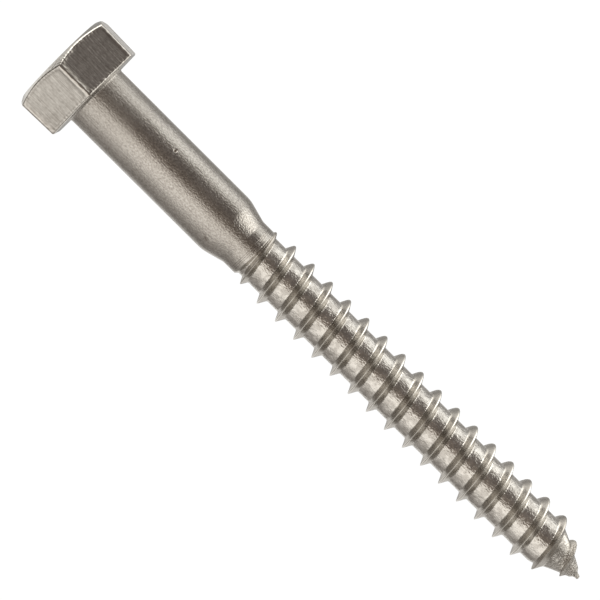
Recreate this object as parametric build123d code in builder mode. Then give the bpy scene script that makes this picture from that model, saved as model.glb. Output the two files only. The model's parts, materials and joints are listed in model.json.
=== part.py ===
# A hexagon head lag bolt, nominal 5/16 in by 3 in with nine threads to the inch.
# It is one cold-headed and thread-rolled piece of stainless steel. Sizes are in millimetres.
#
# The bolt is drawn along +X, head to point, with the centre of the bearing face under the
# head at the origin. Every profile is given as (x, radius). The finished bolt is then tipped
# as it lies on a table, on one flat of its head and on the lowest crest near its point.

import os
from math import atan2, ceil, cos, degrees, radians, sin, tan

from build123d import *

# Head
across_flats = 12.1  # at the bearing face
head_height = 5.35
head_draft = 1.0  # degrees, each flat leans out towards the top
top_circle = 11.2  # diameter of the flat on top, inside the chamfer
top_chamfer = 27.0  # degrees
corner_round = 0.4  # along the six corners
rim_chamfer = 0.25  # round the bearing face
under_head_curve = 0.35  # hollow curve where the shank meets the bearing face

# Shank and neck
shank_diameter = 7.58
shank_length = 20.1
shoulder_length = 2.6  # slope down to the neck
shoulder_round = 2.5
neck_diameter = 6.17
neck_length = 1.95
neck_step = 0.3  # slope from the neck down to the thread root

# Thread
bolt_length = 75.35  # bearing face to point
pitch = 25.4 / 9
thread_diameter = 7.556
root_diameter = 5.53
thread_angle = 64.0  # degrees between the flanks, which meet in a sharp crest
crest_lean = 0.05  # the crest sits this much nearer the point than the middle of its ridge
root_overlap = 0.25  # depth of the ridge's foot in the core

# Start of the thread, where the ridge rises out of the neck
run_in_turns = 1.4
run_in_overlap = 1.08  # the ridge starts this far back along the neck
run_in_shift = 0.6  # the start of the ridge is pushed this far towards the point
run_in_power = 0.65  # under one, so the ridge rises fast and then eases to full height

# Point
point_length = 5.55
nib_diameter = 0.45
crest_lead = 1.5  # the crest starts to come down this far before the cone does
run_out_gap = 0.4  # the ridge has died away this far before the end
run_out_power = 1.8  # over one, so the crest comes down gently and then faster
foot_lead = 0.56  # the foot is as deep as the cone needs this far on
steps_per_turn = 16  # sections in each turn of the run-in and the run-out

# Derived sizes
neck_start = shank_length + shoulder_length
neck_end = neck_start + neck_length
cone_start = bolt_length - point_length
cone_slope = (root_diameter - nib_diameter) / 2 / point_length
foot_radius = root_diameter / 2 - root_overlap
flank_run = tan(radians(thread_angle / 2))
ridge_start = neck_end - run_in_overlap
full_start = ridge_start + run_in_turns * pitch
full_end = cone_start - crest_lead
ridge_end = bolt_length - run_out_gap


def root_at(x):
    """Radius of the core at x, along the thread and down the cone."""
    return root_diameter / 2 - cone_slope * max(x - cone_start, 0)


def crest_at(x):
    """Radius of the ridge's crest at x, from full height to where it dies away."""
    share = max(x - full_end, 0) / (ridge_end - full_end)
    drop = thread_diameter / 2 - root_at(ridge_end) + root_overlap / 3
    return thread_diameter / 2 - drop * share**run_out_power


def ridge_plane(x):
    """Half plane through the axis where the helix passes x, drawn in as (x, radius)."""
    turn = radians(90 + 360 * (x - full_start) / pitch)
    return Plane(origin=(0, 0, 0), x_dir=(1, 0, 0), z_dir=(0, -sin(turn), cos(turn)))


def ridge_section(x, crest, foot):
    """Corners of one section through the ridge, two at its foot and one at its crest."""
    half_foot = (crest - foot) * flank_run
    return [(x - crest_lean - half_foot, foot), (x - crest_lean + half_foot, foot), (x, crest)]


with BuildPart() as bolt:
    # Hexagon, with one corner along Y so that a flat faces down.
    with BuildSketch(Plane(origin=(0, 0, 0), x_dir=(0, 1, 0), z_dir=(-1, 0, 0))):
        RegularPolygon(radius=across_flats / 2, side_count=6, major_radius=False)
    extrude(amount=head_height, taper=-head_draft)
    fillet(bolt.edges().group_by(Axis.X)[1], corner_round)
    chamfer(bolt.edges().group_by(Axis.X)[-1], rim_chamfer)

    # The chamfer on top is a cone, so it meets each flat in a curve.
    with BuildSketch(Plane.XZ):
        with BuildLine():
            chamfer_rise = (across_flats - top_circle / 2) * tan(radians(top_chamfer))
            Polyline(
                (0, 0),
                (0, across_flats),
                (chamfer_rise - head_height, across_flats),
                (-head_height, top_circle / 2),
                (-head_height, 0),
                close=True,
            )
        make_face()
    revolve(axis=Axis.X, mode=Mode.INTERSECT)

    # Shank, shoulder, neck, thread core and cone in one turned profile.
    with BuildSketch(Plane.XZ) as turned:
        with BuildLine():
            Bezier(
                (0, shank_diameter / 2 + under_head_curve),
                (0, shank_diameter / 2),
                (under_head_curve, shank_diameter / 2),
            )
            Polyline(
                (0, shank_diameter / 2 + under_head_curve),
                (-head_height / 2, shank_diameter / 2 + under_head_curve),
                (-head_height / 2, 0),
                (bolt_length, 0),
                (bolt_length, nib_diameter / 2),
                (cone_start, root_diameter / 2),
                (neck_end, root_diameter / 2),
                (neck_end - neck_step, neck_diameter / 2),
                (neck_start, neck_diameter / 2),
                (shank_length, shank_diameter / 2),
                (under_head_curve, shank_diameter / 2),
            )
        make_face()
        shoulder_edge = turned.vertices().sort_by_distance((shank_length, shank_diameter / 2))[0]
        fillet(shoulder_edge, shoulder_round)
    revolve(axis=Axis.X)

    # Start of the ridge, rising out of the neck.
    run_in_steps = ceil(run_in_turns * steps_per_turn)
    for step in range(run_in_steps + 1):
        share = step / run_in_steps
        x = ridge_start + share * (full_start - ridge_start)
        shift = run_in_shift * (1 - share) ** 4
        rise = share**run_in_power * (thread_diameter - neck_diameter) / 2
        with BuildSketch(ridge_plane(x)):
            Polygon(*ridge_section(x + shift, neck_diameter / 2 + rise, foot_radius), align=None)
    loft()

    # Body of the thread, at full height.
    with BuildLine():
        Helix(pitch, full_end - full_start, foot_radius, (full_start, 0, 0), (1, 0, 0))
    with BuildSketch(ridge_plane(full_start)):
        Polygon(*ridge_section(full_start, thread_diameter / 2, foot_radius), align=None)
    sweep(is_frenet=True)

    # End of the ridge, following the cone down to the point.
    run_out_steps = ceil((ridge_end - full_end) / pitch * steps_per_turn)
    for step in range(run_out_steps + 1):
        x = full_end + step / run_out_steps * (ridge_end - full_end)
        foot = root_at(x + foot_lead) - root_overlap
        with BuildSketch(ridge_plane(x)):
            Polygon(*ridge_section(x, crest_at(x), foot), align=None)
    loft()

# The low crests come half a turn after the helix passes the top. The first of them that
# meets a line sloping up from the head's edge carries the point end.
low_turns = ceil((ridge_end - full_start) / pitch - 0.5)
low_crests = [full_start + (turn + 0.5) * pitch for turn in range(low_turns)]
rest_angle = min(
    degrees(atan2(across_flats / 2 - crest_at(x), x + rim_chamfer)) for x in low_crests
)

with BuildPart() as lag_bolt:
    add(bolt.part, rotation=(0, rest_angle, 0))

print("bolt tips point down by", round(rest_angle, 4), "degrees as it lies")
print("volume", round(lag_bolt.part.volume, 1), "valid", lag_bolt.part.is_valid)

os.makedirs("parts", exist_ok=True)
lag_bolt.part.label = "lag_bolt"
export_step(lag_bolt.part, "parts/lag_bolt.step")
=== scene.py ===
# %% [markdown]
# # A lag bolt in stainless steel
#
# A lag bolt is one piece of steel. Its hexagon head is pressed cold, its thread is rolled, and
# nothing is fastened to it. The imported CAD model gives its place, its direction and the size
# of its shank. Here the same bolt is made again with finer edges, and then given the finish of
# rolled steel.

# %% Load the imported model
import json
from math import atan2, ceil, cos, degrees, pi, radians, sin, sqrt, tan

import bmesh
import bpy
from mathutils import Euler, Matrix, Vector


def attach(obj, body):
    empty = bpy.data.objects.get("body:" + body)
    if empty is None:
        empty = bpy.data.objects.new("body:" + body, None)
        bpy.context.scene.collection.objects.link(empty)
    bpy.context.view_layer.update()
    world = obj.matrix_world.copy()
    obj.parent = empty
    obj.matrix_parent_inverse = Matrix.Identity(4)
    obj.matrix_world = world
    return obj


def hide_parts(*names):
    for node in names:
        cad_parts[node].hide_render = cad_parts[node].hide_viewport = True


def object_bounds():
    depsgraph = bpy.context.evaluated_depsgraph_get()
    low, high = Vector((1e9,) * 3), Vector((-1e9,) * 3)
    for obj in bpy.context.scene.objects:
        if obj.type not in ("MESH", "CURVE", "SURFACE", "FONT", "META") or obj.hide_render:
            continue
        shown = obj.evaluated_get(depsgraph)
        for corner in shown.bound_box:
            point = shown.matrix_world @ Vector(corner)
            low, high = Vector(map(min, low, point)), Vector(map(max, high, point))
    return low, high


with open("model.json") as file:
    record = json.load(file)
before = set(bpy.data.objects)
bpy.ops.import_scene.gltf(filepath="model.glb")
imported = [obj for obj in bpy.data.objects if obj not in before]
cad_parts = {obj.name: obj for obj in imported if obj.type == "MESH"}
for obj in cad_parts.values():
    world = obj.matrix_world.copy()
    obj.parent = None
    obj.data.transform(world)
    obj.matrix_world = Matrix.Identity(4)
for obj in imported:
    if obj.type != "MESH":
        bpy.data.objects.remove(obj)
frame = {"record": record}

MM = 0.001
scene = bpy.context.scene
cad_low, cad_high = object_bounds()
print("CAD box in mm:", [round(side / MM, 2) for side in cad_high - cad_low])

# %% [markdown]
# ## Where the bolt lies
#
# A lag bolt lies on an edge of its head and on a crest of its thread, so it tips a little
# towards its point. The record keeps its axis as the direction of the shank. Everything below
# is drawn along +X with the bearing face at zero, and one rotation then lays it down.

# %% Direction of the bolt
mounts = {mount["name"]: mount for mount in frame["record"]["mounts"]}
bolt_axis = Vector(mounts["shank"]["axis"])
tip_down = atan2(-bolt_axis.z, bolt_axis.x)
lay_down = Matrix.Rotation(tip_down, 4, "Y")
print("the point tips down by", round(degrees(tip_down), 2), "degrees")

# %% [markdown]
# ## Camera
#
# A long lens looks down on the bolt from one side, and is rolled so that the bolt runs from
# the upper left to the lower right. The camera is made from four plain facts: the point it
# looks at, how far away it is, its direction, and its roll.

# %% Camera
camera_aim = Vector((31.607, -0.128, -1.108)) * MM
camera_distance = 293.776 * MM
camera_azimuth = radians(-96.138)
camera_elevation = radians(64.423)
camera_roll = radians(49.589)
camera_lens = 160.99  # for a sensor 36 mm wide

camera_back = Vector((
    cos(camera_elevation) * cos(camera_azimuth),
    cos(camera_elevation) * sin(camera_azimuth),
    sin(camera_elevation),
))
camera_data = bpy.data.cameras.new("camera")
camera_data.lens = camera_lens
camera_data.sensor_width = 36
camera_data.clip_start = 0.01
camera_data.clip_end = 20
camera = bpy.data.objects.new("camera", camera_data)
camera.location = camera_aim + camera_back * camera_distance
camera.rotation_mode = "QUATERNION"
rolled = Euler((0, 0, camera_roll)).to_quaternion()
camera.rotation_quaternion = camera_back.to_track_quat("Z", "Y") @ rolled
scene.collection.objects.link(camera)
scene.camera = camera
print("camera at", [round(value / MM) for value in camera.location], "mm")

# %% [markdown]
# ## A helper for node trees
#
# Geometry nodes and shader nodes both do their sums with Math nodes. `Wire` holds one socket,
# and every sum written with it adds the Math node for that sum. The formulas below then read
# as formulas, and the trees stay open to anyone who wants to look inside them.

# %% Wire
class Wire:
    """One socket of a node tree. Sums written with it become Math nodes."""

    def __init__(self, socket):
        self.socket = socket

    def math(self, operation, *values):
        tree = self.socket.id_data
        node = tree.nodes.new("ShaderNodeMath")
        node.operation = operation
        for slot, value in zip(node.inputs, (self, *values)):
            plug(value, slot)
        return Wire(node.outputs[0])

    def __add__(self, other):
        return self.math("ADD", other)

    def __sub__(self, other):
        return self.math("SUBTRACT", other)

    def __rsub__(self, other):
        return self.math("MULTIPLY_ADD", -1.0, other)

    def __mul__(self, other):
        return self.math("MULTIPLY", other)

    def __truediv__(self, other):
        return self.math("DIVIDE", other)

    def __pow__(self, other):
        return self.math("POWER", other)

    def sqrt(self):
        return self.math("SQRT")

    def least(self, other):
        return self.math("MINIMUM", other)

    def most(self, other):
        return self.math("MAXIMUM", other)

    def soft_least(self, other, blend):
        return self.math("SMOOTH_MIN", other, blend)

    def soft_most(self, other, blend):
        return self.math("SMOOTH_MAX", other, blend)


def plug(value, slot):
    """Link a wire into a socket, or set the socket to a plain value."""
    if isinstance(value, Wire):
        slot.id_data.links.new(value.socket, slot)
    else:
        slot.default_value = value


def add_node(tree, kind, settings=None, **values):
    """Add a node, set its options, and fill its inputs by name. Spaces are written as _."""
    node = tree.nodes.new(kind)
    for name, value in (settings or {}).items():
        setattr(node, name, value)
    for name, value in values.items():
        plug(value, node.inputs[name.replace("_", " ")])
    return node


# %% [markdown]
# ## Shank, thread and point
#
# The whole turned and rolled part of the bolt is a surface whose distance from the axis
# follows a rule. Along the bolt it is the shank, the slope to the neck, the neck, the root of
# the thread and the cone of the point. One ridge winds round it. Geometry nodes can work that
# out for every vertex of a grid, so two grids are enough: rings for the shank, and a ribbon
# for the thread that is wound on like paper tape, one pitch wide. The mesh lines then run
# along the crest, which keeps it crisp.

# %% Sizes of the bolt, in millimetres
# Places along the bolt are counted from the bearing face. A slope is the radius lost in each
# millimetre, and a blend is how widely two forms run into each other.
bolt_sizes = {
    "Shank Radius": mounts["shank"]["dims"]["r_mm"],
    "Shank Length": mounts["shank"]["dims"]["length_mm"],
    "Under Head Curve": 0.35,
    "Shoulder Slope": 0.27,
    "Shoulder Blend": 0.25,
    "Neck Radius": 3.085,
    "Neck Blend": 0.08,
    "Neck End": 24.45,
    "Step Slope": 1.2,
    "Step Blend": 0.12,
    "Root Radius": 2.765,
    "Root Curve": 0.25,
    "Crest Radius": 3.745,
    "Crest Round": 0.06,
    "Flank Run": 0.505,
    "Crest Lean": -0.045,
    "Pitch": 25.4 / 9,
    "Ridge Start": 23.57,
    "First Crest": 27.62,
    "Rise Power": 0.65,
    "Ridge Shift": 0.6,
    "Shift Power": 4.0,
    "Early Drop": 4.0,
    "Full End": 68.2,
    "Ridge End": 74.95,
    "Last Crest Radius": 0.32,
    "Fall Power": 1.95,
    "Cone Start": 70.0,
    "Cone Slope": 0.46,
    "Cone Blend": 0.3,
    "Nib Start": 74.73,
    "Nib Radius": 0.2025,
    "Nib Slope": 0.24,
    "Nib Blend": 0.1,
    "Nib Shoulder Slope": 1.1,
    "Nib Shoulder Blend": 0.06,
    "Nib Cap Slope": 3.0,
    "Bolt Length": 75.35,
    "Bend Start": 72.0,
    "Bend Across": -0.2,
    "Bend Up": -0.09,
}
print("sizes of the rolled part:", len(bolt_sizes))


# %% Sizes of the mesh
angle_steps = 96  # round the bolt
ridge_steps = 30  # across one pitch
crest_crowding = 1.7  # above 1, the mesh lines gather near the crest
ring_gap = 0.1
ring_start = -1.0  # inside the head
lead_in_turns = 2  # the tape starts this many turns before the first full crest


def seam_x(size):
    """Where the rings end and the tape begins. It takes plain sizes or wires."""
    return size["First Crest"] - size["Pitch"] * (lead_in_turns - 0.5)


tape_start = bolt_sizes["First Crest"] - lead_in_turns * bolt_sizes["Pitch"]
tape_turns = ceil((bolt_sizes["Bolt Length"] - tape_start) / bolt_sizes["Pitch"] + 0.5)
ring_count = ceil((seam_x(bolt_sizes) - ring_start) / ring_gap)
print("the tape is wound", tape_turns, "times, after", ring_count, "rings")


# %% Rule for the radius
def nib_radius(x, size):
    """Radius of the nib at the end of the point, which stands on a small shoulder."""
    left = size["Bolt Length"] - x
    nib = size["Nib Radius"] + left * size["Nib Slope"]
    shoulder = nib + (size["Nib Start"] - x) * size["Nib Shoulder Slope"]
    nib = shoulder.soft_most(nib, size["Nib Shoulder Blend"])
    return nib.least(left * size["Nib Cap Slope"])


def turned_radius(x, size):
    """Radius of the bolt without its ridge, at x along the axis."""
    shoulder = size["Shank Radius"] - (x - size["Shank Length"]) * size["Shoulder Slope"]
    body = shoulder.soft_least(size["Shank Radius"], size["Shoulder Blend"])
    body = body.soft_most(size["Neck Radius"], size["Neck Blend"])
    step = size["Neck Radius"] - (x - size["Neck End"]) * size["Step Slope"]
    step = step.soft_most(size["Root Radius"], size["Step Blend"])
    cone = size["Root Radius"] - (x - size["Cone Start"]) * size["Cone Slope"]
    body = body.soft_least(step, size["Step Blend"]).soft_least(cone, size["Cone Blend"])
    return body.soft_least(nib_radius(x, size), size["Nib Blend"]).most(0.0)


def crest_radius(crest_x, rise, size):
    """Radius of the crest, which rises out of the neck and sinks into the point."""
    full_height = size["Crest Radius"] - size["Neck Radius"]
    start = size["Neck Radius"] + rise.most(0.0) ** size["Rise Power"] * full_height
    early = rise.least(0.0) * size["Early Drop"]  # before its start the ridge stays buried
    fall = (crest_x - size["Full End"]) / (size["Ridge End"] - size["Full End"])
    drop = size["Crest Radius"] - size["Last Crest Radius"]
    return start + early - fall.most(0.0) ** size["Fall Power"] * drop


def ridge_radius(x, crest_x, size):
    """Radius of the ridge at x, where its crest passes at crest_x."""
    rise = (crest_x - size["Ridge Start"]) / (size["First Crest"] - size["Ridge Start"])
    rise = rise.least(1.0)
    shift = (1.0 - rise.most(0.0)) ** size["Shift Power"] * size["Ridge Shift"]
    across = x - crest_x - shift
    run = size["Flank Run"] - across.math("SIGN") * size["Crest Lean"]
    rounded = (across * across + size["Crest Round"] ** 2.0).sqrt() - size["Crest Round"]
    return crest_radius(crest_x, rise, size) - rounded / run


# %% Geometry nodes for the turned and rolled surface
def named_inputs(tree, sizes):
    """Give a node group one number socket for each named size, and return them as wires."""
    for name, size in sizes.items():
        socket = tree.interface.new_socket(name, in_out="INPUT", socket_type="NodeSocketFloat")
        socket.default_value = size
    group_input = tree.nodes.new("NodeGroupInput")
    return {name: Wire(group_input.outputs[name]) for name in sizes}


def place_on_bolt(tree, grid, x, radius, turns):
    """Move every vertex of a grid to its place round the axis, from the top on."""
    angle = turns * radians(360) + radians(90)
    y, z = radius * angle.math("COSINE"), radius * angle.math("SINE")
    place = add_node(tree, "ShaderNodeCombineXYZ", X=x, Y=y, Z=z)
    return add_node(
        tree, "GeometryNodeSetPosition", Geometry=grid, Position=Wire(place.outputs[0]),
    )


def thread_tape(tree, size, turns, share):
    """The thread and the point: a tape as long as the winding, and one pitch wide."""
    tape = add_node(
        tree, "GeometryNodeMeshGrid", Size_X=tape_turns, Size_Y=1.0,
        Vertices_X=tape_turns * angle_steps + 1, Vertices_Y=ridge_steps + 1,
    )
    wound = turns + tape_turns / 2
    crest_x = size["First Crest"] + (wound - lead_in_turns) * size["Pitch"]
    spread = (share.math("ABSOLUTE") * 2.0) ** crest_crowding * share.math("SIGN") * 0.5
    x = (crest_x + spread * size["Pitch"]).most(seam_x(size)).least(size["Bolt Length"])
    body = turned_radius(x, size)
    radius = body.soft_most(ridge_radius(x, crest_x, size), size["Root Curve"])
    radius = radius.least(nib_radius(x, size)).most(0.0)

    # The finish needs to know how high up the ridge each vertex is. This is noted while the
    # tape is still flat, because every sum here starts from the place of a vertex on it.
    height = (radius - body) / (size["Crest Radius"] - size["Root Radius"])
    noted = add_node(
        tree, "GeometryNodeStoreNamedAttribute", {"data_type": "FLOAT", "domain": "POINT"},
        Geometry=Wire(tape.outputs["Mesh"]), Name="ridge", Value=height,
    )
    thread = place_on_bolt(tree, Wire(noted.outputs[0]), x, radius, wound)

    # The last few millimetres of the point are bent a little to one side.
    bend = (x - size["Bend Start"]) / (size["Bolt Length"] - size["Bend Start"])
    bend = bend.most(0.0) ** 2.0
    aside = add_node(
        tree, "ShaderNodeCombineXYZ",
        Y=bend * size["Bend Across"], Z=bend * size["Bend Up"],
    )
    plug(Wire(aside.outputs[0]), thread.inputs["Offset"])
    return thread


def shank_rings(tree, size, turns, share):
    """The shank and the neck: rings from inside the head to the start of the tape."""
    rings = add_node(
        tree, "GeometryNodeMeshGrid", Size_X=1.0, Size_Y=1.0,
        Vertices_X=angle_steps + 1, Vertices_Y=ring_count + 1,
    )
    along = share + 0.5
    x = (seam_x(size) - ring_start) * along + ring_start
    curve = size["Under Head Curve"]
    reach = (curve - x).most(0.0).least(curve)
    radius = turned_radius(x, size) + curve - (curve * curve - reach * reach).most(0.0).sqrt()
    # The first ring is drawn in to the axis, which closes the end inside the head.
    radius = radius * along.math("GREATER_THAN", 0.5 / ring_count)
    return place_on_bolt(tree, Wire(rings.outputs["Mesh"]), x, radius, turns + 0.5)


# %% The whole tree
weld_distance = 0.002


def turned_and_rolled_tree(sizes):
    """Node group that makes the shank, the thread and the point."""
    tree = bpy.data.node_groups.new("turned_and_rolled", "GeometryNodeTree")
    tree.is_modifier = True
    size = named_inputs(tree, sizes)
    tree.interface.new_socket("Finish", in_out="INPUT", socket_type="NodeSocketMaterial")
    tree.interface.new_socket("Geometry", in_out="OUTPUT", socket_type="NodeSocketGeometry")
    position = Wire(add_node(tree, "GeometryNodeInputPosition").outputs[0])
    spot = add_node(tree, "ShaderNodeSeparateXYZ", Vector=position)
    turns, share = Wire(spot.outputs["X"]), Wire(spot.outputs["Y"])

    joined = tree.nodes.new("GeometryNodeJoinGeometry")
    tree.links.new(thread_tape(tree, size, turns, share).outputs[0], joined.inputs[0])
    tree.links.new(shank_rings(tree, size, turns, share).outputs[0], joined.inputs[0])
    welded = add_node(
        tree, "GeometryNodeMergeByDistance",
        Geometry=Wire(joined.outputs[0]), Distance=weld_distance,
    )
    smooth = add_node(tree, "GeometryNodeSetShadeSmooth", Geometry=Wire(welded.outputs[0]))
    real = add_node(tree, "GeometryNodeRealizeInstances", Geometry=Wire(smooth.outputs[0]))
    group_input = tree.nodes.new("NodeGroupInput")
    finished = add_node(
        tree, "GeometryNodeSetMaterial",
        Geometry=Wire(real.outputs[0]), Material=Wire(group_input.outputs["Finish"]),
    )
    group_output = tree.nodes.new("NodeGroupOutput")
    tree.links.new(finished.outputs[0], group_output.inputs[0])
    return tree


rolled_tree = turned_and_rolled_tree(bolt_sizes)
print("the tree for the thread has", len(rolled_tree.nodes), "nodes")


# %% Make the shank and thread as a plain mesh
def plain_mesh(tree, name, sizes, material):
    """Run a node tree on an empty mesh and return what it makes, with no modifier left."""
    maker = bpy.data.objects.new(name, bpy.data.meshes.new(name))
    scene.collection.objects.link(maker)
    modifier = maker.modifiers.new("nodes", "NODES")
    modifier.node_group = tree
    items = tree.interface.items_tree
    sockets = {item.name: item.identifier for item in items if item.in_out == "INPUT"}
    modifier[sockets["Finish"]] = material
    for size_name, size in sizes.items():
        modifier[sockets[size_name]] = float(size)
    bpy.context.view_layer.update()
    evaluated = maker.evaluated_get(bpy.context.evaluated_depsgraph_get())
    made = bpy.data.meshes.new_from_object(evaluated)
    bpy.data.objects.remove(maker)
    return made


rolled_steel = bpy.data.materials.new("rolled_steel")
pressed_steel = bpy.data.materials.new("pressed_steel")
rolled_mesh = plain_mesh(rolled_tree, "rolled_part", bolt_sizes, rolled_steel)
print("shank and thread:", len(rolled_mesh.polygons), "faces")

# %% [markdown]
# ## Head
#
# The head is a hexagon with rounded corners. A cone cuts its top, so each flat ends in a
# curve, and every edge is a little soft from the die. It is built as a lathe would turn it,
# from one outline that runs from the middle of the top to the middle of the bearing face,
# but the outline's reach changes as it goes round the hexagon.

# %% Sizes of the head, in millimetres
across_flats = 12.1
head_height = 5.35
head_draft = tan(radians(1.0))
top_radius = 5.6
chamfer_rise = tan(radians(27.0))
corner_round = 0.4
top_soft = 0.2
edge_soft = 0.16
rim_soft = 0.25
flat_dish = 0.045  # the flats are pressed in this deep
lip_width = 0.3  # inside a narrow raised lip
dish_corner = 0.5


# %% Outline of the hexagon
def spaced(start, end, count):
    """Points between two ends, without the ends."""
    return [start.lerp(end, step / (count + 1)) for step in range(1, count + 1)]


def closer_at_ends(start, end, count):
    """Points between two ends, closer near the ends, each with its distance to an end."""
    shares = [(1 - cos(pi * step / (count + 1))) / 2 for step in range(1, count + 1)]
    length = (end - start).length
    return [(start.lerp(end, share), length * min(share, 1 - share)) for share in shares]


def hexagon_outline(flat_radius, corner_steps=8, flat_points=27):
    """Points round a hexagon with rounded corners, and how far each is inside its flat."""
    points = []
    for corner in range(6):
        middle = radians(60 * corner)
        to_centre = (flat_radius - corner_round) / cos(radians(30))
        centre = Vector((cos(middle), sin(middle))) * to_centre
        for step in range(corner_steps + 1):
            turn = middle + radians(60 * (step / corner_steps - 0.5))
            points.append((centre + Vector((cos(turn), sin(turn))) * corner_round, 0.0))
        following = middle + radians(60)
        end = Vector((cos(following), sin(following))) * to_centre
        end += Vector((cos(middle + radians(30)), sin(middle + radians(30)))) * corner_round
        points += closer_at_ends(points[-1][0], end, flat_points)
    return points


outline = hexagon_outline(across_flats / 2)
print("points round the head:", len(outline))


# %% Outline from the top to the bearing face
def soft_corner(before, corner, after, reach, steps=5):
    """Points that round a corner, starting and ending at a distance from it."""
    start = corner + (before - corner).normalized() * reach
    end = corner + (after - corner).normalized() * reach
    points = []
    for step in range(steps + 1):
        share = step / steps
        pull = 2 * share * (1 - share)
        points.append(start * (1 - share) ** 2 + corner * pull + end * share**2)
    return points


def head_profile(reach, face_points=8, chamfer_points=5, side_points=24):
    """Points (x, radius) where the side stands at a radius of reach.

    Each one comes with how far it is inside a flat.
    """
    top_middle = Vector((-head_height, 0))
    top_edge = Vector((-head_height, top_radius))
    side_reach = reach * (1 + head_draft * head_height / (across_flats / 2))
    chamfer_edge = Vector((-head_height + (side_reach - top_radius) * chamfer_rise, side_reach))
    rim = Vector((0, reach))
    face_middle = Vector((0, 0))
    top_curve = soft_corner(top_middle, top_edge, chamfer_edge, top_soft)
    chamfer_curve = soft_corner(top_edge, chamfer_edge, rim, edge_soft)
    rim_curve = soft_corner(chamfer_edge, rim, face_middle, rim_soft)
    above = [*spaced(top_middle, top_curve[0], face_points), *top_curve]
    above += [*spaced(top_curve[-1], chamfer_curve[0], chamfer_points), *chamfer_curve]
    below = [*rim_curve, *spaced(rim_curve[-1], face_middle, face_points)]
    side = closer_at_ends(chamfer_curve[-1], rim_curve[0], side_points)
    return [(spot, 0.0) for spot in above] + side + [(spot, 0.0) for spot in below]


def inside_flat(along, across):
    """How far a spot is inside a flat whose dished part has rounded corners."""
    if along < dish_corner and across < dish_corner:
        from_centre = sqrt((dish_corner - along) ** 2 + (dish_corner - across) ** 2)
        return max(dish_corner - from_centre, 0.0)
    return min(along, across)


print("points from the top to the bearing face:", len(head_profile(across_flats / 2)))


# %% Build the head
def head_mesh():
    """The head as one closed mesh, in millimetres, with its dished flats."""
    shape = bmesh.new()
    lip = shape.verts.layers.float.new("lip")
    columns = []
    for point, across in outline:
        direction = point.normalized()
        column = []
        for spot, along in head_profile(point.length):
            share = min(inside_flat(along, across) / lip_width, 1.0)
            pressed = share * share * (3 - 2 * share)
            radius = spot.y - flat_dish * pressed * point.length / (across_flats / 2)
            vertex = shape.verts.new((spot.x, direction.x * radius, direction.y * radius))
            vertex[lip] = 1 - pressed
            column.append(vertex)
        columns.append(column)
    top = shape.verts.new((-head_height, 0, 0))
    bottom = shape.verts.new((0, 0, 0))
    for index, column in enumerate(columns):
        following = columns[(index + 1) % len(columns)]
        shape.faces.new((top, column[0], following[0]))
        shape.faces.new((bottom, following[-1], column[-1]))
        for row in range(len(column) - 1):
            shape.faces.new((column[row], column[row + 1], following[row + 1], following[row]))
    bmesh.ops.recalc_face_normals(shape, faces=shape.faces)
    mesh = bpy.data.meshes.new("head")
    shape.to_mesh(mesh)
    shape.free()
    return mesh


pressed_mesh = head_mesh()
print("head:", len(pressed_mesh.polygons), "faces")

# %% [markdown]
# ## One piece
#
# The head and the rolled part are one piece of steel, so they become one object. It takes the
# place of the CAD solid, in metres, laid down as the bolt lies.

# %% Join the head and the rolled part
shortest_edge = 1e-5


def one_piece(name, parts):
    """Join meshes into one object, each with its own finish."""
    shape = bmesh.new()
    for index, (mesh, _) in enumerate(parts):
        before = len(shape.faces)
        shape.from_mesh(mesh)
        shape.faces.ensure_lookup_table()
        for face in shape.faces[before:]:
            face.material_index = index
            face.smooth = True
    bmesh.ops.dissolve_degenerate(shape, dist=shortest_edge, edges=shape.edges)
    bmesh.ops.recalc_face_normals(shape, faces=shape.faces)
    open_edges = sum(1 for edge in shape.edges if not edge.is_manifold)
    joined = bpy.data.meshes.new(name)
    shape.to_mesh(joined)
    shape.free()
    joined.transform(lay_down @ Matrix.Scale(MM, 4))
    for _, material in parts:
        joined.materials.append(material)
    piece = bpy.data.objects.new(name, joined)
    scene.collection.objects.link(piece)
    print(name, "has", len(joined.polygons), "faces and", open_edges, "open edges")
    return piece


bolt = one_piece("bolt", [(rolled_mesh, rolled_steel), (pressed_mesh, pressed_steel)])
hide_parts("lag_bolt")
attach(bolt, "root")


# %% [markdown]
# ## Finish
#
# Stainless steel has one colour, so its look comes from how it was worked and used. The wire
# leaves a fine grain on the shank, the die leaves marks along the flats, and rolling leaves
# the thread brighter, with dents and dark patches in its roots. The marks, the patches and
# the colour are wanted on the head and on the thread, so each one is a node group, used with
# its own values. The marks and the patches read the place on the bolt in millimetres, with the
# bolt's axis along X.

# %% Helpers for the finish
def smooth_step(value, low, high):
    """0 below low, 1 above high, and an even curve between. It falls if high is below low."""
    node = add_node(
        value.socket.id_data, "ShaderNodeMapRange", {"interpolation_type": "SMOOTHSTEP"},
        Value=value, From_Min=low, From_Max=high,
    )
    return Wire(node.outputs[0])


def mix_colours(tree, share, first, second):
    """The first colour where share is 0, the second where it is 1, and a mix between."""
    mix = add_node(tree, "ShaderNodeMix", {"data_type": "RGBA"})
    factor_slot, first_slot, second_slot = (mix.inputs[index] for index in (0, 6, 7))
    plug(share, factor_slot)
    plug(first, first_slot)
    plug(second, second_slot)
    return Wire(mix.outputs[2])


def bolt_place(tree):
    """The place on the bolt in millimetres, turned so that its axis is along X."""
    coordinates = tree.nodes.new("ShaderNodeTexCoord")
    turned = add_node(
        tree, "ShaderNodeMapping", Vector=Wire(coordinates.outputs["Object"]),
        Rotation=(0, -tip_down, 0), Scale=(1 / MM, 1 / MM, 1 / MM),
    )
    return Wire(turned.outputs[0])


def along_bolt(tree, place):
    """How far a place is from the bearing face, towards the point."""
    return Wire(add_node(tree, "ShaderNodeSeparateXYZ", Vector=place).outputs["X"])


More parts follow.
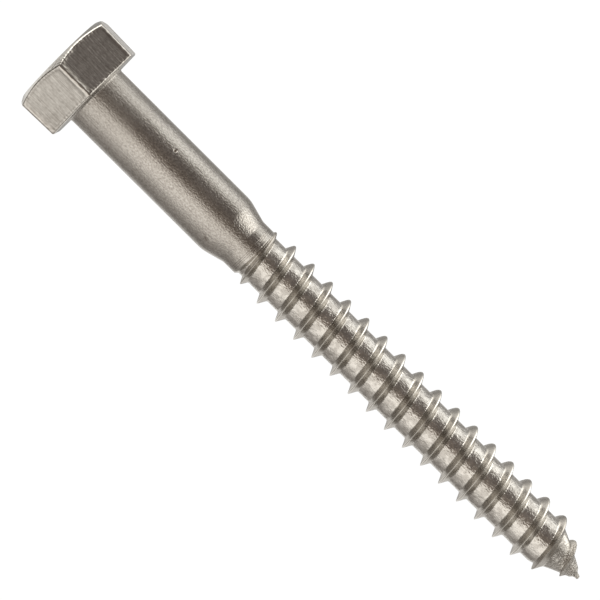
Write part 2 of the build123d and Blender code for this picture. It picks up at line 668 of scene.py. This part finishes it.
def mask_on_mesh(tree, name):
    """A mask that was noted on the mesh when it was made."""
    return Wire(add_node(tree, "ShaderNodeAttribute", {"attribute_name": name}).outputs["Fac"])


# %% Helpers for node groups
def finish_group(name, sizes, output, kind="NodeSocketFloat"):
    """Start a shader node group. Returns its tree, place input, sizes and output node."""
    tree = bpy.data.node_groups.new(name, "ShaderNodeTree")
    tree.interface.new_socket("Place", in_out="INPUT", socket_type="NodeSocketVector")
    sizes = named_inputs(tree, sizes)
    tree.interface.new_socket(output, in_out="OUTPUT", socket_type=kind)
    place = Wire(tree.nodes.new("NodeGroupInput").outputs["Place"])
    return tree, place, sizes, tree.nodes.new("NodeGroupOutput")


def use_group(tree, group, **values):
    """Put a node group into a tree and return its output."""
    return Wire(add_node(tree, "ShaderNodeGroup", {"node_tree": group}, **values).outputs[0])


# %% Group: marks, long or round, with a height about zero
def marks_group():
    start = {"Along": 1.0, "Across": 1.0, "Detail": 0.0}
    tree, place, size, output = finish_group("marks", start, "Height")
    across = size["Across"]
    sides = add_node(tree, "ShaderNodeCombineXYZ", X=size["Along"], Y=across, Z=across)
    scaled = add_node(tree, "ShaderNodeVectorMath", {"operation": "DIVIDE"})
    plug(place, scaled.inputs[0])
    plug(Wire(sides.outputs[0]), scaled.inputs[1])
    noise = add_node(
        tree, "ShaderNodeTexNoise",
        Vector=Wire(scaled.outputs[0]), Scale=1.0, Detail=size["Detail"],
    )
    plug(Wire(noise.outputs[0]) - 0.5, output.inputs[0])
    return tree


marks = marks_group()


# %% Group: patches, with a hard or a soft edge
def patches_group():
    tree, place, size, output = finish_group("patches", {"Size": 1.0, "Edge": 0.2}, "Mask")
    noise = add_node(
        tree, "ShaderNodeTexNoise", Vector=place, Scale=size["Size"] ** -1.0, Detail=2.5,
    )
    edge = size["Edge"]
    plug(smooth_step(Wire(noise.outputs[0]), 0.5 - edge, edge + 0.5), output.inputs[0])
    return tree


patches = patches_group()


# %% Group: colour of the steel
dark_oxide = (0.16, 0.13, 0.105, 1)
rubbed_steel = (0.88, 0.86, 0.81, 1)


def steel_colour_group():
    tree, _, size, output = finish_group(
        "steel_colour", {"Brightness": 0.65}, "Color", "NodeSocketColor",
    )
    plug(mix_colours(tree, size["Brightness"], dark_oxide, rubbed_steel), output.inputs[0])
    return tree


steel_colour = steel_colour_group()
print("node groups:", [group.name for group in (marks, patches, steel_colour)])


# %% Join the masks to the shader
smoothest, roughest = 0.12, 0.7


def finish_steel(material, brightness, roughness, height):
    """Feed the colour, the roughness and the fine relief of one steel finish."""
    tree = material.node_tree
    shader = tree.nodes["Principled BSDF"]
    shader.inputs["Metallic"].default_value = 1.0
    colour = use_group(tree, steel_colour, Brightness=brightness.most(0.0).least(1.0))
    plug(colour, shader.inputs["Base Color"])
    plug(roughness.most(smoothest).least(roughest), shader.inputs["Roughness"])
    bump = add_node(tree, "ShaderNodeBump", Strength=1.0, Distance=MM, Height=height)
    plug(Wire(bump.outputs[0]), shader.inputs["Normal"])


# %% [markdown]
# ## Rolled steel
#
# The shank has a fine round grain that breaks up its reflections, and short lines along it
# near the head. Three thin rings run round the end of the neck. In the thread the crests are
# rubbed bright, the flanks are rougher and darkened with painted shade from the grooves
# between the ridges, and the roots are finely dented and hold dark patches.
# The last few millimetres of the point are rough. One pit and one smudge on the shank are old
# damage, each a spot at its own place.

# %% Helpers for rings and spots
def ring(along, at, half_width=0.07):
    """1 on a thin ring round the bolt, falling to 0 beside it."""
    return smooth_step((along - at).math("ABSOLUTE"), half_width, 0.0)


def spot_mark(place, along, turn, size):
    """1 in the middle of a spot on the shank, falling to 0 at its ragged edge."""
    tree = place.socket.id_data
    reach = bolt_sizes["Shank Radius"]
    away = add_node(tree, "ShaderNodeVectorMath", {"operation": "DISTANCE"})
    plug(place, away.inputs[0])
    plug((along, reach * cos(radians(turn)), reach * sin(radians(turn))), away.inputs[1])
    ragged = use_group(tree, marks, Place=place, Along=size, Across=size, Detail=2.0) * size
    return smooth_step(Wire(away.outputs["Value"]) + ragged, size, size * 0.3)


# %% Where the rolled finish changes, in millimetres from the bearing face
handled_shank = (10.0, 1.0)  # handling marks grow towards the head
rolled_thread = (23.0, 25.5)
smooth_cone = (69.8, 70.4)
rough_end = (71.8, 73.0)


# %% Rolled finish
def rolled_finish(material):
    material.use_nodes = True
    tree = material.node_tree
    place = bolt_place(tree)
    along = along_bolt(tree, place)
    grain = use_group(tree, marks, Place=place, Along=0.24, Across=0.16, Detail=1.0)
    dents = use_group(tree, marks, Place=place, Along=0.5, Across=0.5, Detail=2.0)
    lines = use_group(tree, marks, Place=place, Along=2.5, Across=0.12)
    cloud = use_group(tree, patches, Place=place, Size=5.0, Edge=0.3)
    blotch = use_group(tree, patches, Place=place, Size=0.7, Edge=0.1)

    # Stretches of the bolt, and then parts of the ridge, from its foot up to its crest.
    near_head = smooth_step(along, *handled_shank)
    thread = smooth_step(along, *rolled_thread)
    rough_point = smooth_step(along, *rough_end)
    cone = smooth_step(along, *smooth_cone) - rough_point
    ridge = mask_on_mesh(tree, "ridge")
    root = smooth_step(ridge, 0.15, 0.02)
    flank = smooth_step(ridge, 0.01, 0.1)
    crest = smooth_step(ridge, 0.8, 1.0)

    rings = ring(along, 23.7) + ring(along, 23.9) + ring(along, 24.1)
    pit = spot_mark(place, along=10.5, turn=86.5, size=0.3)
    smudge = spot_mark(place, along=19.45, turn=158.6, size=0.45)
    dirt = thread * root * blotch * 0.4 + pit * 0.8 + smudge * 0.35

    # The flank term darkens the flanks: painted shade from the grooves between the ridges.
    brightness = (
        thread * 0.4 + 0.52 + (cloud - 0.5) * 0.08
        + grain * (rough_point * 0.6 - thread * 0.4 + 0.7) + lines * near_head * 0.3
        + crest * 0.45 - flank * 0.38 - dirt * 0.7 - rings * 0.3
    )
    roughness = (
        cloud * 0.06 + 0.18 + near_head * 0.15 - thread * 0.11 + dirt * 0.2
        + flank * 0.19 - crest * 0.1 + cone * 0.16 + rough_point * 0.14
    )
    grain_height = rough_point * 0.17 - thread * 0.027 + thread * root * 0.03 + 0.035
    height = (
        grain * grain_height + lines * near_head * 0.012
        + dents * thread * root * 0.065 - rings * 0.015 - pit * 0.08
    )
    finish_steel(material, brightness, roughness, height)


rolled_finish(rolled_steel)
print("rolled finish:", len(rolled_steel.node_tree.nodes), "nodes")

# %% [markdown]
# ## Pressed steel
#
# The die draws fine lines along the flats of the head, and its wear leaves broader bands
# round it. The top and the bearing face stay plain. The lips of the flats are rubbed a little
# brighter by wrenches, and the crease inside them is a little darker.

# %% Pressed finish
top_begins = (-4.9, -5.25)
bearing_face_begins = (-0.2, -0.03)


def pressed_finish(material):
    material.use_nodes = True
    tree = material.node_tree
    place = bolt_place(tree)
    along = along_bolt(tree, place)
    lip = mask_on_mesh(tree, "lip")
    ends = smooth_step(along, *top_begins) + smooth_step(along, *bearing_face_begins)
    sides = 1.0 - ends * 0.88
    lines = use_group(tree, marks, Place=place, Along=3.0, Across=0.16) * sides
    bands = use_group(tree, marks, Place=place, Along=0.5, Across=5.0)
    grain = use_group(tree, marks, Place=place, Along=0.4, Across=0.3)
    cloud = use_group(tree, patches, Place=place, Size=3.0, Edge=0.3)
    crease = lip * (1.0 - lip) * 4.0
    brightness = (
        lines * 0.4 + 0.65 + bands * 0.2 + (cloud - 0.5) * 0.08 + grain * 0.3
        + lip * 0.1 - crease * 0.15
    )
    roughness = cloud * 0.05 + 0.13 - lip * 0.02
    height = lines * 0.006 + grain * (lip * sides * 0.035 + 0.01) + bands * 0.01
    finish_steel(material, brightness, roughness, height)


pressed_finish(pressed_steel)
print("pressed finish:", len(pressed_steel.node_tree.nodes), "nodes")

# %% [markdown]
# ## Floor
#
# The bolt lies on a sheet of matte paper. To the camera the paper glows almost by itself, so
# it is white and keeps only a faint shadow. The metal doesn't mirror it, because a white sheet
# right under the bolt would fill the dark lower rims that give its round parts their shape. In
# reflections the lower part of the tent takes the paper's place.

# %% Floor
paper_grey = (0.45, 0.45, 0.45, 1)
paper_glow = 1.08
glow_share = 0.93


def paper_material():
    paper = bpy.data.materials.new("white_paper")
    paper.use_nodes = True
    tree = paper.node_tree
    matte = tree.nodes["Principled BSDF"]
    matte.inputs["Base Color"].default_value = paper_grey
    matte.inputs["Roughness"].default_value = 1.0
    glow = add_node(tree, "ShaderNodeEmission", Strength=paper_glow)
    ray = tree.nodes.new("ShaderNodeLightPath")
    mix = tree.nodes.new("ShaderNodeMixShader")
    plug(Wire(ray.outputs["Is Camera Ray"]) * glow_share, mix.inputs[0])
    tree.links.new(matte.outputs[0], mix.inputs[1])
    tree.links.new(glow.outputs[0], mix.inputs[2])
    tree.links.new(mix.outputs[0], tree.nodes["Material Output"].inputs["Surface"])
    return paper


def floor(height, half_width):
    mesh = bpy.data.meshes.new("floor")
    signs = [(-1, -1), (1, -1), (1, 1), (-1, 1)]
    corners = [(east * half_width, back * half_width, height) for east, back in signs]
    mesh.from_pydata(corners, [], [(0, 1, 2, 3)])
    mesh.materials.append(paper_material())
    plane = bpy.data.objects.new("floor", mesh)
    plane.visible_glossy = False
    scene.collection.objects.link(plane)
    return plane


paper_sheet = floor(cad_low.z, half_width=2.0)
print("floor at", round(paper_sheet.data.vertices[0].co.z / MM, 2), "mm")

# %% [markdown]
# ## Light
#
# Bare steel shows little but what stands round it, so the light is a tent drawn on the world.
# Seen along the bolt it is a ring. Straight above is a dark ceiling, on both sides are light
# walls, and below them the tent goes dark before it turns light again under the bolt. On a
# straight shank this ring becomes long stripes: a dark one between two light ones, with dark
# rims. The flanks of the thread and the cone of the point look towards the ends of the tent
# instead, so those have a light and a dark part of their own. The camera sees none of it,
# only white.

# %% The ring of the tent
# Degrees round the bolt's axis: -90 and 270 are straight down, 0 is level at the back, 90 is
# straight up, and 180 is level in front.
tent_ring = [
    (-90, (0.86, 0.84, 0.81)),
    (-72, (0.82, 0.80, 0.77)),
    (-56, (0.74, 0.72, 0.69)),
    (-42, (0.50, 0.48, 0.46)),
    (-28, (0.40, 0.385, 0.37)),
    (-17, (0.32, 0.305, 0.29)),
    (-6, (0.36, 0.345, 0.33)),
    (2, (0.56, 0.545, 0.53)),
    (11, (0.98, 0.96, 0.93)),
    (20, (1.12, 1.10, 1.06)),
    (36, (1.12, 1.10, 1.06)),
    (50, (0.55, 0.52, 0.48)),
    (62, (0.17, 0.152, 0.142)),
    (80, (0.15, 0.13, 0.12)),
    (112, (0.19, 0.155, 0.13)),
    (124, (0.54, 0.48, 0.43)),
    (134, (0.97, 0.92, 0.86)),
    (150, (1.05, 1.00, 0.94)),
    (168, (0.99, 0.94, 0.89)),
    (180, (0.87, 0.83, 0.785)),
    (190, (0.62, 0.59, 0.555)),
    (202, (0.50, 0.47, 0.445)),
    (218, (0.37, 0.345, 0.325)),
    (235, (0.28, 0.26, 0.245)),
    (252, (0.30, 0.28, 0.265)),
    (270, (0.86, 0.84, 0.81)),
]
ring_first = tent_ring[0][0]


def ring_colour(tree, back, up):
    """Colour of the ring in a direction, from how far back and how far up it points."""
    angle = up.math("ARCTAN2", back) * degrees(1)
    share = (angle - ring_first).math("FLOORED_MODULO", 360) / 360
    ramp = add_node(tree, "ShaderNodeValToRGB", Fac=share)
    stops = ramp.color_ramp.elements
    for turn, _ in tent_ring[1:-1]:
        stops.new((turn - ring_first) / 360)
    for stop, (turn, colour) in zip(stops, tent_ring):
        stop.position = (turn - ring_first) / 360
        stop.color = (*colour, 1)
    return Wire(ramp.outputs[0])


# %% The ends of the tent
# A direction is given as three wires: east is towards the bolt's point, back is away from the
# camera's side, and up. Each limit below is a part of a direction of length 1.
end_dark = (0.15, 0.135, 0.12, 1)
end_light = (1.6, 1.56, 1.48, 1)
opening_light = (0.95, 0.92, 0.88, 1)


def end_colour(tree, east, back, up):
    """Colour of both ends: light at the back, dark in front, and dimmer past the point."""
    behind = smooth_step(back, 0.05, 0.5) * (smooth_step(up, -0.55, -0.15) * 0.55 + 0.45)
    past_point = smooth_step(east, 0.55, 0.75)
    return mix_colours(tree, behind * (1.0 - past_point * 0.7), end_dark, end_light)


def end_share(east, back, up):
    """1 towards the ends, 0 on the ring. The ends reach further in at the back and below."""
    reach_back = smooth_step(back, -0.15, 0.1) * 0.3
    reach_low = smooth_step(up, 0.3, -0.05) * 0.22
    sideways = east.math("ABSOLUTE") + reach_back.most(reach_low)
    return smooth_step(sideways, 0.65, 0.95) * smooth_step(up, -0.7, -0.45)


def opening_share(east, back, up):
    """1 on the two openings past the point: one high in front, and one low all round."""
    high_in_front = smooth_step(up, 0.1, 0.25) * smooth_step(back, -0.2, -0.45)
    skylight = smooth_step(east, 0.65, 0.75) * high_in_front
    sheet = smooth_step(east, 0.68, 0.8) * smooth_step(up, -0.3, -0.45)
    return skylight + sheet


# %% Brighter and dimmer parts of the tent
def extra_light(east, back, up):
    """Added strength: a bright window at the back, and two dark screens low behind the bolt."""
    sideways = east.math("ABSOLUTE")
    high = smooth_step(up, -0.4, 0.0) - smooth_step(east, 0.5, 0.9) * 0.6
    window = smooth_step(sideways, 0.1, 0.55) * smooth_step(back, 0.0, 0.4) * high
    upper_screen = smooth_step(sideways, 0.12, 0.28) * smooth_step(back, 0.3, 0.5)
    upper_screen = upper_screen * smooth_step(up, -0.45, -0.6)
    lower_screen = smooth_step(sideways, 0.34, 0.22) * smooth_step(back, 0.2, 0.3)
    lower_screen = lower_screen * smooth_step(up, -0.8, -0.87)
    return (window - upper_screen.most(lower_screen)) * 0.5


# %% World
def studio():
    world = bpy.data.worlds.new("studio")
    scene.world = world
    world.use_nodes = True
    tree = world.node_tree
    coordinates = tree.nodes.new("ShaderNodeTexCoord")
    direction = Wire(coordinates.outputs["Generated"])
    parts = add_node(tree, "ShaderNodeSeparateXYZ", Vector=direction)
    east, back, up = (Wire(parts.outputs[axis]) for axis in "XYZ")

    ring_of_tent = ring_colour(tree, back, up)
    ends = end_colour(tree, east, back, up)
    tent = mix_colours(tree, end_share(east, back, up), ring_of_tent, ends)
    tent = mix_colours(tree, opening_share(east, back, up), tent, opening_light)

    ray = tree.nodes.new("ShaderNodeLightPath")
    to_camera = Wire(ray.outputs["Is Camera Ray"])
    background = tree.nodes["Background"]
    plug(mix_colours(tree, to_camera, tent, (1, 1, 1, 1)), background.inputs["Color"])
    strength = extra_light(east, back, up) * (1.0 - to_camera) + 1.0
    plug(strength, background.inputs["Strength"])
    return world


tent_world = studio()
print("tent:", len(tent_ring), "stops in its ring,", len(tent_world.node_tree.nodes), "nodes")


# %% Lamp
# The lamp is there for the shadow on the paper. The metal mirrors the tent, and not the lamp.
def softbox(name, place, aim, size, power):
    lamp = bpy.data.lights.new(name, "AREA")
    lamp.shape = "RECTANGLE"
    lamp.size, lamp.size_y = size
    lamp.energy = power
    light = bpy.data.objects.new(name, lamp)
    light.location = place
    light.rotation_mode = "QUATERNION"
    light.rotation_quaternion = (place - aim).to_track_quat("Z", "Y")
    light.visible_glossy = False
    light.visible_camera = False
    scene.collection.objects.link(light)
    return light


middle = (cad_low + cad_high) / 2
behind_bolt = middle + Vector((0.1, 0.35, 0.35))
window_lamp = softbox("window", behind_bolt, middle, size=(0.45, 0.45), power=2.0)
print("lamp at", [round(value / MM) for value in window_lamp.location], "mm")

# %% Finish
scene.view_settings.view_transform = "Standard"
